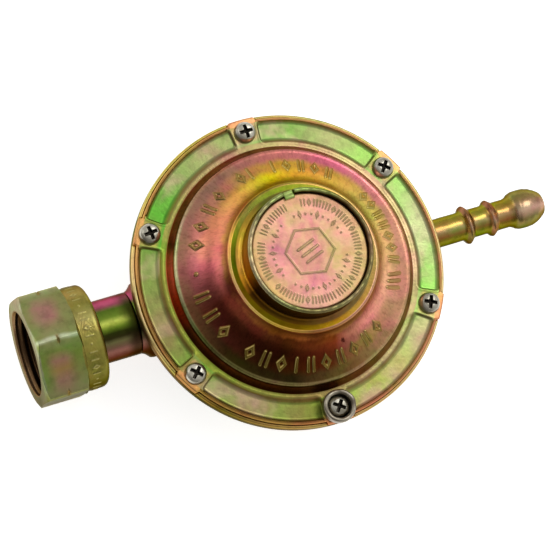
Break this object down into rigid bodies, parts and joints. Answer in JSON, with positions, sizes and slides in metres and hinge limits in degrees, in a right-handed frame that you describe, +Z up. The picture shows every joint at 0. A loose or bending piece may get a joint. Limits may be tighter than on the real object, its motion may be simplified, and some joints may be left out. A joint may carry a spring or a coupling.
{
  "type": "gas pressure regulator",
  "caption": "Round low-pressure gas cylinder regulator with a swivelling hexagon inlet nut, screwed diaphragm cover, tamper cap and bulb-ended hose barb.",
  "frame": {"origin": "centre of the flat underside of the body, on the diaphragm axis", "axes": "+X from the inlet nut to the hose barb, +Z up the diaphragm axis through the cap, +Y completes the right-handed frame"},
  "size_m": [0.1324, 0.0753, 0.0478],
  "materials": {
    "die_cast": "yellow-passivated zinc die casting, iridescent green and pink",
    "cap": "yellow-passivated pressed disc, satin",
    "nut_steel": "turned, yellow-passivated",
    "screw_steel": "nickel plated",
    "seal_steel": "dull grey",
    "pressed_steel": "zinc plated pressing",
    "spring_steel": "drawn wire",
    "brass": "turned",
    "rubber": "matt",
    "plastic": "moulded"
  },
  "bodies": {
    "regulator": {"body_casting": "die_cast", "bonnet": "die_cast", "cap_disc": "cap", "bonnet_screws": "screw_steel", "seal_cup": "seal_steel", "inlet_nipple": "nut_steel", "outlet_barb": "nut_steel", "inlet_gasket": "rubber", "inlet_filter": "brass", "inlet_nozzle": "brass", "nozzle_oring": "rubber", "lever_pin": "screw_steel", "diaphragm": "rubber", "main_spring": "spring_steel"},
    "inlet_nut": {"union_nut": "nut_steel"},
    "diaphragm_centre": {"diaphragm_plate": "pressed_steel", "diaphragm_washer": "pressed_steel", "diaphragm_stem": "brass"},
    "valve_lever": {"lever": "pressed_steel", "pad_holder": "brass", "valve_pad": "rubber"},
    "upper_seat": {"spring_seat": "pressed_steel"},
    "adjuster": {"adjusting_screw": "plastic"}
  },
  "joints": [
    {"name": "nut_spin", "type": "hinge", "parent": "regulator", "child": "inlet_nut", "pos_m": [-0.055, 0, 0.015], "axis": [1, 0, 0], "continuous": true},
    {"name": "diaphragm_lift", "type": "slide", "parent": "regulator", "child": "diaphragm_centre", "axis": [0, 0, 1], "range_m": [0, 0.0024], "stiffness_N_per_m": 560, "springref_m": -0.0101, "deforming": ["diaphragm", "main_spring"]},
    {"name": "lever_pivot", "type": "hinge", "parent": "regulator", "child": "valve_lever", "pos_m": [-0.013, 0, 0.01], "axis": [0, -1, 0], "range_deg": [0, 10.6]},
    {"name": "seat_slide", "type": "slide", "parent": "regulator", "child": "upper_seat", "axis": [0, 0, 1], "range_m": [-0.001, 0.001], "deforming": ["main_spring"]},
    {"name": "adjuster_turn", "type": "hinge", "parent": "upper_seat", "child": "adjuster", "pos_m": [0, 0, 0.042], "axis": [0, 0, 1], "range_deg": [-288, 288]}
  ],
  "couplings": [
    {"joint": "lever_pivot", "follows": "diaphragm_lift", "rad_per_m": 76.88},
    {"joint": "seat_slide", "follows": "adjuster_turn", "m_per_rad": 0.00019894}
  ]
}
